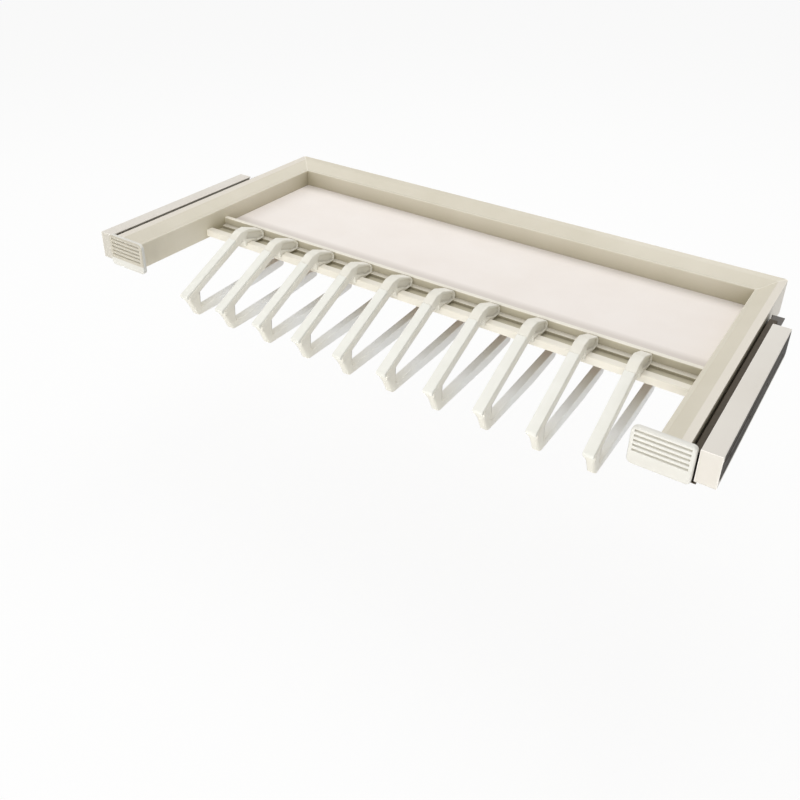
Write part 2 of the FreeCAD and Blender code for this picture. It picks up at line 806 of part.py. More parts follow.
def side_cover():
    """Snap-on cover: closed top, front and runner side, open to the cabinet."""
    inner = cover_web_x - cover_overhang
    sheet = cover_sheet
    top = lip + cover_top
    bottom = lip - cover_bottom
    rail_top = lip - wall_rail_top
    rail_bottom = rail_top - wall_rail_height
    section = [
        (inner, top, 0.6),
        (half_width, top, 1.2),
        (half_width, rail_top),
        (half_width - sheet, rail_top),
        (half_width - sheet, top - sheet, 0.5),
        (cover_web_x + sheet, top - sheet, 0.5),
        (cover_web_x + sheet, bottom + sheet, 0.5),
        (half_width - sheet, bottom + sheet, 0.5),
        (half_width - sheet, rail_bottom),
        (half_width, rail_bottom),
        (half_width, bottom, 1.2),
        (cover_web_x, bottom, 0.6),
        (cover_web_x, top - sheet, 0.3),
        (inner, top - sheet, 0.3),
    ]
    cover = along_y(rounded_wire(section, in_xz(arm_front)), arm_front, cover_back)
    plate = [
        (inner, bottom, 0.8),
        (half_width, bottom, 1.2),
        (half_width, top, 1.2),
        (inner, top, 0.6),
    ]
    front = along_y(rounded_wire(plate, in_xz(arm_front)), arm_front, arm_front + cover_front_plate)
    cover = cover.fuse(front).removeSplitter()
    holes = screw_holes_x(runner_screw_places(), cover_web_x - 1, cover_web_x + sheet + 1,
                          screw_radius + screw_fit, slide_mid)
    return cover.cut(holes)


def wall_hole_places():
    return spread(wall_hole_count, wall_hole_pitch, (arm_front + cover_back) / 2)


def wall_rail():
    """Steel tube that is screwed to the cabinet side and carries the runner."""
    start = arm_front + cover_front_plate
    x_in = cover_web_x + cover_sheet
    top = lip - wall_rail_top
    bottom = top - wall_rail_height
    sheet = wall_rail_sheet
    outer = [(x_in, bottom, 1.0), (half_width, bottom, 0.6), (half_width, top, 0.6), (x_in, top, 1.0)]
    inner = [(x_in + sheet, bottom + sheet), (half_width - sheet, bottom + sheet),
             (half_width - sheet, top - sheet), (x_in + sheet, top - sheet)]
    end = cover_back - 2.0
    tube = along_y(rounded_wire(outer, in_xz(start)), start, end)
    tube = tube.cut(along_y(rounded_wire(inner, in_xz(start - 1)), start - 1, end + 1))
    mid = (top + bottom) / 2
    cuts = [screw_holes_x(runner_screw_places(), x_in - 1, x_in + sheet + 1, screw_radius + screw_fit, slide_mid)]
    cuts.append(screw_holes_x(wall_hole_places(), x_in - 1, x_in + sheet + 1, access_hole / 2, mid))
    cuts.append(screw_holes_x(wall_hole_places(), half_width - sheet - 1, half_width + 1, wall_hole / 2, mid))
    for cut in cuts:
        tube = tube.cut(cut)
    return tube


def tail_bracket():
    """Folded steel bracket behind the runner: web, top flange and rear stop."""
    sheet = cover_sheet
    start = cover_back + seat_gap
    end = runner_back + tail_reach
    top = lip - wall_rail_top
    low = slide_mid - half_runner + 2.0
    web = solid_box((cover_web_x, start, low), (cover_web_x + sheet, end, top))
    flange = solid_box((cover_web_x, start, top - sheet), (cover_web_x + tail_flange, end, top))
    stop = solid_box((arm_out + 2.0, end - sheet, low), (cover_web_x + sheet, end, top))
    roof = solid_box((arm_out + outer_lip, runner_back + seat_gap, top - sheet), (cover_web_x + sheet, end, top))
    bracket = web.fuse(flange).fuse(stop).fuse(roof).removeSplitter()
    hole = rod((cover_web_x - 1, tail_screw_y, slide_mid), (1, 0, 0), screw_radius + screw_fit, sheet + 2)
    return bracket.cut(hole)


def tail_screws():
    """Screw and nut end that hold each rear bracket to its runner."""
    screws = []
    inner = arm_out + outer_web - steel / 2
    y = tail_screw_y
    for side in (-1, 1):
        head = rod((side * (inner - flat_head), y, slide_mid), (side, 0, 0), flat_head_radius, flat_head)
        shank = rod((side * inner, y, slide_mid), (side, 0, 0), screw_radius, steel + cover_sheet)
        rivet = rod((side * (cover_web_x + cover_sheet), y, slide_mid), (side, 0, 0), flat_head_radius, 1.2)
        screws.append(head.fuse(shank).fuse(rivet).removeSplitter())
    return group(screws)


def rear_bumpers():
    """Rubber buffers on the rear stops, met by the frame's runner members."""
    bumpers = []
    end = runner_back + tail_reach - cover_sheet
    x = arm_out + 2.0 + bumper_radius
    for side in (-1, 1):
        length = end - runner_back - seat_gap
        bumper = rod((side * x, end - length, slide_mid), (0, 1, 0), bumper_radius, length)
        bumper = bumper.makeFillet(1.4, [bumper.Edges[2]])
        bumpers.append(bumper)
    return group(bumpers)


# ---------------------------------------------------------------- all pieces

def pieces():
    arm = right_arm()
    insert = corner_insert()
    grip = grip_cap()
    cover = side_cover()
    tube = wall_rail()
    bracket = tail_bracket()
    cabinet = cabinet_member()
    middle = mid_member()
    drawer = drawer_member()
    outer_cage = ball_cage(outer_cage_web, 4.3, outer_ball_row, outer_ball_at, ball_outer)
    inner_cage = ball_cage(inner_cage_web, 2.9, inner_ball_row, inner_ball_at, ball_inner)
    outer_balls = balls(outer_ball_row, outer_ball_at, ball_outer)
    inner_balls = balls(inner_ball_row, inner_ball_at, ball_inner)
    made = {
        "back_rail": back_rail(),
        "corner_screws": corner_screws(),
        "cross_rail": cross_rail(),
        "cross_rail_screws": cross_rail_screws(),
        "tray_board": tray_board(),
        "tray_liner": tray_liner(),
        "tray_clips": tray_clips(),
        "tray_screws": tray_screws(),
        "runner_screws": runner_screws(),
        "arm_screws": arm_screws(),
        "tail_screws": tail_screws(),
        "rear_bumpers": rear_bumpers(),
    }
    handed = {
        "arm": arm,
        "corner_insert": insert,
        "grip": grip,
        "side_cover": cover,
        "wall_rail": tube,
        "tail_bracket": bracket,
        "cabinet_member": cabinet,
        "mid_member": middle,
        "drawer_member": drawer,
        "outer_cage": outer_cage,
        "inner_cage": inner_cage,
        "outer_balls": outer_balls,
        "inner_balls": inner_balls,
    }
    for name, shape in handed.items():
        made["right_" + name] = shape
        made["left_" + name] = mirrored(shape)
    for number, x in enumerate(hanger_places(), start=1):
        made["hanger_%02d" % number] = hanger_body(x)
        made["hanger_pad_%02d" % number] = hanger_pad(x)
    return made


os.makedirs("parts", exist_ok=True)
for name, shape in pieces().items():
    shape.exportStep("parts/" + name + ".step")
    print(name, len(shape.Solids), "solid(s)")
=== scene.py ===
import bpy, bmesh, json, math
from mathutils import Matrix, Vector

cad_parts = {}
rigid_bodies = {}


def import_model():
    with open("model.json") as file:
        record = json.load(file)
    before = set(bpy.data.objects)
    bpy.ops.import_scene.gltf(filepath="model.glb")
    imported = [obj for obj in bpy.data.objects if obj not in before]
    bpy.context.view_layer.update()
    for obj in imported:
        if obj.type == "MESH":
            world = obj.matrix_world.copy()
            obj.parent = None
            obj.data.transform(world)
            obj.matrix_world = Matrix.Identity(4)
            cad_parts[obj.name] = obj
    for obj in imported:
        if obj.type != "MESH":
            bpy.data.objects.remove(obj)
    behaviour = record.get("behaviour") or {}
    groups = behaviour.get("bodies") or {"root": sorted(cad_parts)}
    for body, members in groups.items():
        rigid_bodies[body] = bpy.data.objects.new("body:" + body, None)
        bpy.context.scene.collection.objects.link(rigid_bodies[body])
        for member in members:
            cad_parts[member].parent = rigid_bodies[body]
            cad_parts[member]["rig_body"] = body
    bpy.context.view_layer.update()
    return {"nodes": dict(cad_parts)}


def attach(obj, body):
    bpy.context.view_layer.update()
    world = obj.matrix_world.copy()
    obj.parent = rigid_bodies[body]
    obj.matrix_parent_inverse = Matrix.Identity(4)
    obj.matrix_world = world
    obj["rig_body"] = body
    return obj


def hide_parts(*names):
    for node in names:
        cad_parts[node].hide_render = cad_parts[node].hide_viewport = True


# Pull-out trouser rack: champagne frame, lined tray, folded hangers, side runners.
# Metres, +Z up, the front towards -Y.

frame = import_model()
nodes = frame["nodes"]
mm = 0.001
print("stage: frame loaded,", len(nodes), "pieces")

cameraView = {
    "place": (0.5209, -0.8853, 0.6045),
    "turnDeg": 33.29,       # from straight at the back, towards the left
    "downDeg": 28.85,
    "rollDeg": 1.02,
    "lensMm": 38.46,
    "sensorMm": 36.0,
    "shiftUp": -0.125,
    "nearest": 0.02,
    "farthest": 30.0,
}


def makeCamera(spec):
    turn, down, roll = (math.radians(spec[key]) for key in ("turnDeg", "downDeg", "rollDeg"))
    ahead = Vector((-math.sin(turn) * math.cos(down), math.cos(turn) * math.cos(down), -math.sin(down)))
    level = Vector((math.cos(turn), math.sin(turn), 0))
    above = level.cross(ahead)
    right = level * math.cos(roll) + above * math.sin(roll)
    up = above * math.cos(roll) - level * math.sin(roll)
    data = bpy.data.cameras.new("camera")
    data.lens, data.sensor_width, data.shift_y = spec["lensMm"], spec["sensorMm"], spec["shiftUp"]
    data.clip_start, data.clip_end = spec["nearest"], spec["farthest"]
    camera = bpy.data.objects.new("camera", data)
    bpy.context.scene.collection.objects.link(camera)
    turned = Matrix((right, up, -ahead)).transposed().to_4x4()
    camera.matrix_world = Matrix.Translation(Vector(spec["place"])) @ turned
    bpy.context.scene.camera = camera


makeCamera(cameraView)
print("stage: camera set")


def srgb(hexText):  # linear colour of an sRGB hex value
    parts = [int(hexText[i:i + 2], 16) / 255 for i in (1, 3, 5)]
    return tuple(p / 12.92 if p <= 0.04045 else ((p + 0.055) / 1.055) ** 2.4 for p in parts) + (1.0,)


def addNode(tree, kind, settings=None, links=None):
    node = tree.nodes.new(kind)
    for key, value in (settings or {}).items():
        if isinstance(key, int) or key in node.inputs:
            node.inputs[key].default_value = value
        else:
            setattr(node, key, value)
    for key, source in (links or {}).items():
        tree.links.new(source, node.inputs[key])
    return node


def startMaterial(name, roughness, ior=None, metallic=0.0):  # metal keeps the default ior
    material = bpy.data.materials.new(name)
    material.use_nodes = True
    tree = material.node_tree
    shader = tree.nodes["Principled BSDF"]
    shader.inputs["Roughness"].default_value = roughness
    shader.inputs["Metallic"].default_value = metallic
    if ior:
        shader.inputs["IOR"].default_value = ior
    place = addNode(tree, "ShaderNodeTexCoord").outputs["Object"]
    return material, tree, shader, place


noiseRange = {"From Min": 0.3, "From Max": 0.7}  # where most of a noise's values lie


def tonePatches(tree, shader, place, spec):
    patch = addNode(tree, "ShaderNodeTexNoise",
                    {"Scale": 1 / (spec["patchMm"] * mm), "Detail": 3.0, "Roughness": 0.55}, {"Vector": place})
    spread = addNode(tree, "ShaderNodeMapRange", noiseRange, {"Value": patch.outputs["Fac"]})
    tone = addNode(tree, "ShaderNodeMix", {"data_type": "RGBA", 6: srgb(spec["dark"]), 7: srgb(spec["light"])},
                   {0: spread.outputs["Result"]})
    tree.links.new(tone.outputs[2], shader.inputs["Base Color"])
    return tone.outputs[2]


def grainBump(tree, shader, place, spec):
    grain = addNode(tree, "ShaderNodeTexNoise",
                    {"Scale": 1 / (spec["grainMm"] * mm), "Detail": spec.get("grainDetail", 2.0), "Roughness": 0.5},
                    {"Vector": place})
    bump = addNode(tree, "ShaderNodeBump", {"Strength": 1.0, "Distance": spec["grainDepthMm"] * mm},
                   {"Height": grain.outputs["Fac"]})
    tree.links.new(bump.outputs["Normal"], shader.inputs["Normal"])
    return grain.outputs["Fac"]


def roughSpread(tree, shader, source, low, high):
    rough = addNode(tree, "ShaderNodeMapRange", {**noiseRange, "To Min": low, "To Max": high}, {"Value": source})
    tree.links.new(rough.outputs["Result"], shader.inputs["Roughness"])


# shares of open surroundings between which the painted edge highlight or the painted crevice shade comes in
openness = {"samples": 6, "edgeHighlightOpen": 0.97, "edgeHighlightShut": 0.55, "creviceShadeOpen": 0.75, "creviceShadeShut": 0.2,
            "ownWalls": True}


def paintedHighlightAndShade(tree, shader, spec):
    # paints a lighter highlight on convex edges and a darker shade in crevices: a convex edge meets its own
    # neighbour face just inside the solid, a crevice has walls close outside
    spec = {**openness, **spec}
    plain = shader.inputs["Base Color"].links[0].from_socket
    near = addNode(tree, "ShaderNodeAmbientOcclusion",
                   {"inside": True, "only_local": True, "samples": spec["samples"],
                    "Distance": spec["edgeHighlightMm"] * mm})
    edgeHighlightMask = addNode(tree, "ShaderNodeMapRange",
                     {"From Min": spec["edgeHighlightOpen"], "From Max": spec["edgeHighlightShut"],
                      "To Min": 0.0, "To Max": spec["edgeHighlightShare"]},
                     {"Value": near.outputs["AO"]})
    highlighted = addNode(tree, "ShaderNodeMix", {"data_type": "RGBA", 7: srgb(spec["edge"])},
                   {0: edgeHighlightMask.outputs["Result"], 6: plain})
    tree.links.new(highlighted.outputs[2], shader.inputs["Base Color"])
    if "creviceShade" not in spec:
        return
    walls = addNode(tree, "ShaderNodeAmbientOcclusion",
                    {"only_local": spec["ownWalls"], "samples": spec["samples"],
                     "Distance": spec["creviceShadeMm"] * mm})
    creviceShadeMask = addNode(tree, "ShaderNodeMapRange",
                        {"From Min": spec["creviceShadeOpen"], "From Max": spec["creviceShadeShut"],
                         "To Min": 0.0, "To Max": spec["creviceShadeShare"]},
                        {"Value": walls.outputs["AO"]})
    shaded = addNode(tree, "ShaderNodeMix", {"data_type": "RGBA", 7: srgb(spec["creviceShade"])},
                    {0: creviceShadeMask.outputs["Result"], 6: highlighted.outputs[2]})
    tree.links.new(shaded.outputs[2], shader.inputs["Base Color"])


def paintedLightZone(tree, shader, place, zone):
    # painted light or shade: another tone in one zone of the piece, where it is lit or shaded differently; each
    # fade goes from 0 to 1 between two places on an axis, in mm, and they are multiplied
    plain = shader.inputs["Base Color"].links[0].from_socket
    parts = addNode(tree, "ShaderNodeSeparateXYZ", {}, {"Vector": place})
    share = None
    for axis, fromMm, toMm in zone["fades"]:
        fade = addNode(tree, "ShaderNodeMapRange", {"From Min": fromMm * mm, "From Max": toMm * mm},
                       {"Value": parts.outputs[axis]}).outputs["Result"]
        share = fade if share is None else addNode(
            tree, "ShaderNodeMath", {"operation": "MULTIPLY"}, {0: share, 1: fade}).outputs["Value"]
    share = addNode(tree, "ShaderNodeMath", {"operation": "MULTIPLY", 1: zone["share"]}, {0: share})
    toned = addNode(tree, "ShaderNodeMix", {"data_type": "RGBA", 7: srgb(zone["tone"])},
                    {0: share.outputs["Value"], 6: plain})
    tree.links.new(toned.outputs[2], shader.inputs["Base Color"])


def makeCoating(name, spec):  # paint, plastic, rubber or board: patches of tone over a fine grain
    material, tree, shader, place = startMaterial(name, spec["smoothest"], spec["ior"])
    shader.inputs["Specular IOR Level"].default_value = spec.get("gloss", 0.5)
    tonePatches(tree, shader, place, spec)
    grain = grainBump(tree, shader, place, spec)
    roughSpread(tree, shader, grain, spec["smoothest"], spec["roughest"])
    # painted light and shade in zones
    for zone in spec.get("paintedLightZones", []):
        paintedLightZone(tree, shader, place, zone)
    # painted highlights on convex edges and painted shade in crevices
    if "edge" in spec:
        paintedHighlightAndShade(tree, shader, spec)
    return material


# champagne powder coat on extruded aluminium: satin, with a fine even orange peel; its edges carry a painted
# highlight and its inner corners a painted khaki shade
powderCoat = {"dark": "#D4CDBA", "light": "#DBD4C3", "patchMm": 90.0, "grainMm": 0.9, "grainDepthMm": 0.012,
              "smoothest": 0.34, "roughest": 0.44, "ior": 1.5,
              "edge": "#F8F3E6", "edgeHighlightMm": 1.4, "edgeHighlightShare": 0.85,
              "creviceShade": "#A89F83", "creviceShadeMm": 60.0, "creviceShadeShare": 0.8,
              "creviceShadeOpen": 0.85, "creviceShadeShut": 0.35, "ownWalls": False}
# painted light: the arms' outer slopes, beyond the ridge, are painted lighter and creamier, as if lit from the
# outer side
armCoat = {**powderCoat,
           "paintedLightZones": [{"tone": "#E2DBCE", "share": 1.0, "fades": [("X", side * 390.3, side * 391.0)]}
                     for side in (-1, 1)]}
# the cross rail's coat is a shade paler, with painted highlights on its edges and painted shade in its creases;
# its channel's floor and back wall, below the rounded top, carry a painted shade of darker khaki
paleCoat = {"dark": "#E9E3D5", "light": "#EEE9DD", "patchMm": 90.0, "grainMm": 0.9, "grainDepthMm": 0.012,
            "smoothest": 0.34, "roughest": 0.44, "ior": 1.5,
            "edge": "#FAF5E6", "edgeHighlightMm": 1.4, "edgeHighlightShare": 0.8,
            "creviceShade": "#9A9484", "creviceShadeMm": 5.0, "creviceShadeShare": 0.4,
            "paintedLightZones": [{"tone": "#C0B9A3", "share": 1.0, "fades": [("Y", -61.2, -60.9), ("Z", 67.4, 67.0)]},
                      {"tone": "#C4BDA8", "share": 1.0,
                       "fades": [("Y", -24.7, -24.4), ("Y", -23.9, -24.1),
                                 ("Z", 68.2, 68.6), ("Z", 78.4, 77.8)]}]}

# moulded ABS and polypropylene: even colour, spark-eroded grain too fine to see singly; the grips carry painted
# highlights on their edges and painted shade in their grooves, a painted grey shade along their lower and inner
# edges, and a painted shade over the left one's ribs
mouldedAbs = {"dark": "#DEDBD2", "light": "#E3E1D9", "patchMm": 60.0, "grainMm": 0.55, "grainDepthMm": 0.008,
              "smoothest": 0.36, "roughest": 0.46, "ior": 1.46,
              "edge": "#F1F0EA", "edgeHighlightMm": 1.2, "edgeHighlightShare": 0.7,
              "creviceShade": "#BDB8A8", "creviceShadeMm": 3.0, "creviceShadeShare": 0.9,
              "paintedLightZones": [{"tone": "#C4C4C0", "share": 0.8, "fades": [("Z", 63.6, 62.2)]},
                        {"tone": "#C9C9C5", "share": 0.8, "fades": [("X", 346.0, 344.8), ("X", 0.0, 1.0)]},
                        {"tone": "#C9C9C5", "share": 0.8, "fades": [("X", -346.0, -344.8), ("X", 0.0, -1.0)]},
                        {"tone": "#C2BAA7", "share": 0.85,
                         "fades": [("X", 0.0, -1.0), ("Y", -206.0, -207.0), ("Z", 73.0, 75.0)]}]}
# the hangers carry painted highlights on their edges and painted shade in their crevices; their lower arms are
# painted whiter and cooler in their rear half, painted light that lifts their shade and warm bounce under the rail
mouldedHanger = {"dark": "#E5E1D5", "light": "#EBE8DD", "patchMm": 40.0, "grainMm": 0.5, "grainDepthMm": 0.006,
                 "smoothest": 0.34, "roughest": 0.46, "ior": 1.46,
                 "edge": "#FBF9EE", "edgeHighlightMm": 0.9, "edgeHighlightShare": 0.6,
                 "creviceShade": "#C3BEAF", "creviceShadeMm": 4.0, "creviceShadeShare": 0.8,
                 "creviceShadeOpen": 0.93, "creviceShadeShut": 0.5,
                 "paintedLightZones": [{"tone": "#F5F6F6", "share": 1.0, "fades": [("Y", -165.0, -110.0), ("Z", 60.0, 42.0)]}]}
# extruded PVC covers, with a painted highlight along their edges; the left one's front end carries a painted shade
extrudedPvc = {"dark": "#DDD7CD", "light": "#E2DDD4", "patchMm": 120.0, "grainMm": 0.7, "grainDepthMm": 0.005,
               "smoothest": 0.40, "roughest": 0.50, "ior": 1.46,
               "edge": "#FFFBF4", "edgeHighlightMm": 0.9, "edgeHighlightShare": 1.0,
               "paintedLightZones": [{"tone": "#CBC6BA", "share": 0.8, "fades": [("X", 0.0, -1.0), ("Y", -200.8, -201.6)]}]}
softRubber = {"dark": "#EAE9E0", "light": "#EFEEE6", "patchMm": 30.0, "grainMm": 0.45, "grainDepthMm": 0.012,
              "smoothest": 0.58, "roughest": 0.70, "ior": 1.46}
bufferRubber = {"dark": "#1C1B1A", "light": "#242321", "patchMm": 8.0, "grainMm": 0.4, "grainDepthMm": 0.01,
                "smoothest": 0.62, "roughest": 0.75, "ior": 1.46}

# wood-fibre hardboard, pressed: brown, with matted fibres
hardboard = {"dark": "#7A5B40", "light": "#94714F", "patchMm": 6.0, "grainMm": 0.8, "grainDepthMm": 0.03,
             "smoothest": 0.6, "roughest": 0.8, "ior": 1.46}
# dark brown stoved enamel on the wall rails, grey on the rear brackets
darkEnamel = {"dark": "#38332E", "light": "#423C36", "patchMm": 50.0, "grainMm": 1.2, "grainDepthMm": 0.01,
              "smoothest": 0.58, "roughest": 0.70, "ior": 1.5, "gloss": 0.2}
greyEnamel = {"dark": "#544F49", "light": "#5F5A54", "patchMm": 50.0, "grainMm": 1.2, "grainDepthMm": 0.01,
              "smoothest": 0.42, "roughest": 0.52, "ior": 1.5}
# the runner's rolled members: brown electro-coat, thin and even
runnerCoat = {"dark": "#443A2B", "light": "#4F4434", "patchMm": 5.0, "grainMm": 0.8, "grainDepthMm": 0.006,
              "smoothest": 0.50, "roughest": 0.62, "ior": 1.5, "gloss": 0.3}

# flocked card: dense short nap, soft and without gloss, drawn at about twice its real fibre size;
# the margin along the cross rail carries a painted shadow, greyer towards the rail
flockedLiner = {"dark": "#F4ECE5", "light": "#F7F0EA", "patchMm": 70.0,
                "grainMm": 0.6, "grainDepthMm": 0.05, "grainDetail": 4.0,
                "roughness": 0.92, "ior": 1.4, "gloss": 0.2, "sheen": 0.25, "sheenRoughness": 0.6,
                "fleckDark": 0.95,
                "paintedLightZones": [{"tone": "#D6CEC6", "share": 0.9, "fades": [("Y", 16.0, 3.0)]}]}


def makeFlock(name, spec):
    material, tree, shader, place = startMaterial(name, spec["roughness"], spec["ior"])
    shader.inputs["Sheen Weight"].default_value = spec["sheen"]
    shader.inputs["Sheen Roughness"].default_value = spec["sheenRoughness"]
    shader.inputs["Specular IOR Level"].default_value = spec["gloss"]
    tone = tonePatches(tree, shader, place, spec)
    fibre = grainBump(tree, shader, place, spec)
    fleck = addNode(tree, "ShaderNodeMapRange",
                    {"From Min": 0.35, "From Max": 0.7, "To Min": spec["fleckDark"], "To Max": 1.0},
                    {"Value": fibre})
    shade = addNode(tree, "ShaderNodeMix", {"data_type": "RGBA", "blend_type": "MULTIPLY", 0: 1.0},
                    {6: tone, 7: fleck.outputs["Result"]})
    tree.links.new(shade.outputs[2], shader.inputs["Base Color"])
    # painted shade in zones
    for zone in spec["paintedLightZones"]:
        paintedLightZone(tree, shader, place, zone)
    return material


# steel, cold rolled or drawn along the rack's depth: long fine streaks
zincSteel = {"dark": "#A9A8A4", "light": "#BDBCB8", "streakMm": 0.5, "stretch": 40.0, "roughness": 0.34,
             "uneven": 0.15}
brightSteel = {"dark": "#C6C6C8", "light": "#D4D4D6", "streakMm": 0.4, "stretch": 6.0, "roughness": 0.18,
               "uneven": 0.15}


def makeSteel(name, spec):
    material, tree, shader, place = startMaterial(name, spec["roughness"], metallic=1.0)
    drawn = addNode(tree, "ShaderNodeMapping", {"Scale": (1.0, 1 / spec["stretch"], 1.0)}, {"Vector": place})
    streak = addNode(tree, "ShaderNodeTexNoise", {"Scale": 1 / (spec["streakMm"] * mm), "Detail": 2.0},
                     {"Vector": drawn.outputs["Vector"]})
    tone = addNode(tree, "ShaderNodeMix", {"data_type": "RGBA", 6: srgb(spec["dark"]), 7: srgb(spec["light"])},
                   {0: streak.outputs["Fac"]})
    tree.links.new(tone.outputs[2], shader.inputs["Base Color"])
    roughSpread(tree, shader, streak.outputs["Fac"],
                spec["roughness"] * (1 - spec["uneven"]), spec["roughness"] * (1 + spec["uneven"]))
    return material


finishes = {
    "powderCoat": makeCoating("powderCoatedAluminium", powderCoat),
    "armCoat": makeCoating("armPowderCoat", armCoat),
    "paleCoat": makeCoating("palePowderCoat", paleCoat),
    "gripAbs": makeCoating("mouldedAbs", mouldedAbs),
    "hangerPp": makeCoating("mouldedPolypropylene", mouldedHanger),
    "coverPvc": makeCoating("extrudedPvc", extrudedPvc),
    "padRubber": makeCoating("softTpeRubber", softRubber),
    "buffer": makeCoating("blackRubber", bufferRubber),
    "flock": makeFlock("flockedCard", flockedLiner),
    "zinc": makeSteel("zincPlatedSteel", zincSteel),
    "runner": makeCoating("electroCoatedSteel", runnerCoat),
    "bright": makeSteel("polishedSteel", brightSteel),
    "board": makeCoating("pressedHardboard", hardboard),
    "enamel": makeCoating("darkStovedEnamel", darkEnamel),
    "bracket": makeCoating("greyStovedEnamel", greyEnamel),
}

finishOf = {
    "back_rail": "powderCoat", "arm": "armCoat", "cross_rail": "paleCoat",
    "corner_insert": "zinc", "corner_screws": "zinc", "cross_rail_screws": "zinc", "tray_screws": "zinc",
    "tray_clips": "zinc", "runner_screws": "zinc", "arm_screws": "zinc", "tail_screws": "zinc",
    "tray_board": "board", "tray_liner": "flock",
    "grip": "gripAbs", "hanger_pad": "padRubber", "hanger": "hangerPp",
    "cabinet_member": "runner", "mid_member": "runner", "drawer_member": "runner",
    "outer_cage": "bright", "inner_cage": "bright", "outer_balls": "bright", "inner_balls": "bright",
    "side_cover": "coverPvc", "wall_rail": "enamel", "tail_bracket": "bracket", "rear_bumpers": "buffer",
}


def plainName(name):
    return name.removeprefix("left_").removeprefix("right_")


def finishFor(name):
    plain = plainName(name)
    if plain not in finishOf:
        plain = plain.rstrip("0123456789_")
    return finishes[finishOf[plain]]


def dress(piece, material):
    piece.data.materials.clear()
    piece.data.materials.append(material)


for name, piece in nodes.items():
    if not piece.data.materials:
        piece.data.materials.append(None)
    for index in range(len(piece.material_slots)):
        piece.material_slots[index].material = finishFor(name)
print("stage: materials on")

meshing = {"mergeMm": 0.02, "smoothDeg": 34.0, "snapM": 1e-6}


def bodyOf(piece):
    return piece["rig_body"] if "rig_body" in piece else piece.parent.name


def netOf(name):  # the node's mesh with its double vertices merged
    net = bmesh.new()
    net.from_mesh(nodes[name].data)
    bmesh.ops.remove_doubles(net, verts=net.verts, dist=meshing["mergeMm"] * mm)
    return net


def smoothMesh(mesh):
    mesh.polygons.foreach_set("use_smooth", [True] * len(mesh.polygons))
    mesh.set_sharp_from_angle(angle=math.radians(meshing["smoothDeg"]))


def showNet(net, name):
    bmesh.ops.recalc_face_normals(net, faces=net.faces)
    mesh = bpy.data.meshes.new(name)
    net.to_mesh(mesh)
    net.free()
    smoothMesh(mesh)
    piece = bpy.data.objects.new(name, mesh)
    bpy.context.scene.collection.objects.link(piece)
    return piece


# moulded pieces get eased edges; the covers keep theirs and are set in
easedPieces = {
    "hanger_": {"radiusMm": 0.8, "segments": 3, "slot": "hanger_plastic"},
    "hanger_pad_": {"radiusMm": 0.9, "segments": 3, "slot": "pad_rubber"},
    "grip": {"radiusMm": 0.5, "segments": 2, "slot": "grip_plastic"},
    "side_cover": {"segments": 0, "slot": "cover_plastic"},
}
easing = {"flatDeg": 0.6, "edgeDeg": 32.0}
# the fold's nose, below the upper arm, is round in plan; foot and head are (y, z) on its front line
nose = {"radiusMm": 4.0, "cutsMm": (0.4, 1.2, 2.4, 4.0), "foot": (-173.06, 4.9), "head": (-182.21, 26.65),
        "roundAtMm": 20.0, "halfWidthMm": 5.5, "marginMm": 0.01}
coverSetInMm = 0.3  # room for the wall rail's flanges


def easedSpec(name):
    return easedPieces.get(plainName(name).rstrip("0123456789"))


def roundNose(net, spec):
    foot, head = (Vector((0, y, z)) * mm for y, z in (spec["foot"], spec["head"]))
    along = (head - foot).normalized()
    inwards = Vector((1, 0, 0)).cross(along)
    if inwards.y < 0:
        inwards = -inwards
    for cut in spec["cutsMm"]:
        bmesh.ops.bisect_plane(net, geom=net.verts[:] + net.edges[:] + net.faces[:], dist=meshing["snapM"],
                               plane_co=foot + inwards * cut * mm, plane_no=inwards)
    middle = sum(bound(vert.co.x for vert in net.verts) for bound in (min, max)) / 2
    radius, half = spec["radiusMm"] * mm, spec["halfWidthMm"] * mm
    deepest = radius + spec["marginMm"] * mm
    front = [face for face in net.faces if all((vert.co - foot).dot(inwards) < deepest for vert in face.verts)]
    rims = {edge for face in front for edge in face.edges}
    bmesh.ops.bisect_plane(net, geom=front + list(rims) + list({vert for edge in rims for vert in edge.verts}),
                           dist=meshing["snapM"], plane_co=(0, 0, spec["roundAtMm"] * mm), plane_no=(0, 0, 1))
    for vert in net.verts:
        depth = max((vert.co - foot).dot(inwards), 0.0)
        if depth >= radius:
            continue
        share = (half - radius + math.sqrt(radius ** 2 - (radius - depth) ** 2)) / half
        fade = (vert.co.z - spec["roundAtMm"] * mm) / (head.z - spec["roundAtMm"] * mm)
        fade = min(max(fade, 0.0), 1.0)
        vert.co.x = middle + (vert.co.x - middle) * (share + (1 - share) * fade)


def setCoverIn(net, depth):
    outside = max(abs(vert.co.x) for vert in net.verts)
    for vert in net.verts:
        vert.co.x = math.copysign(min(abs(vert.co.x), outside - depth), vert.co.x)


def easedCopy(name, spec, general):
    source = nodes[name]
    net = netOf(name)
    bmesh.ops.dissolve_limit(net, angle_limit=math.radians(general["flatDeg"]), verts=net.verts, edges=net.edges)
    if spec["slot"] == "hanger_plastic":
        roundNose(net, nose)
    if spec["slot"] == "cover_plastic":
        setCoverIn(net, coverSetInMm * mm)
    if spec["segments"]:
        edges = [edge for edge in net.edges
                 if len(edge.link_faces) == 2 and edge.calc_face_angle() > math.radians(general["edgeDeg"])]
        bmesh.ops.bevel(net, geom=edges, offset=spec["radiusMm"] * mm, offset_type="OFFSET",
                        segments=spec["segments"], profile=0.5, affect="EDGES", clamp_overlap=False)
    bmesh.ops.triangulate(net, faces=[face for face in net.faces if len(face.verts) > 4])
    piece = showNet(net, name + "Eased")
    dress(piece, finishFor(name))
    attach(piece, bodyOf(source))
    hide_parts(name)


for name in sorted(nodes):
    if easedSpec(name):
        easedCopy(name, easedSpec(name), easing)
print("stage: edges eased")

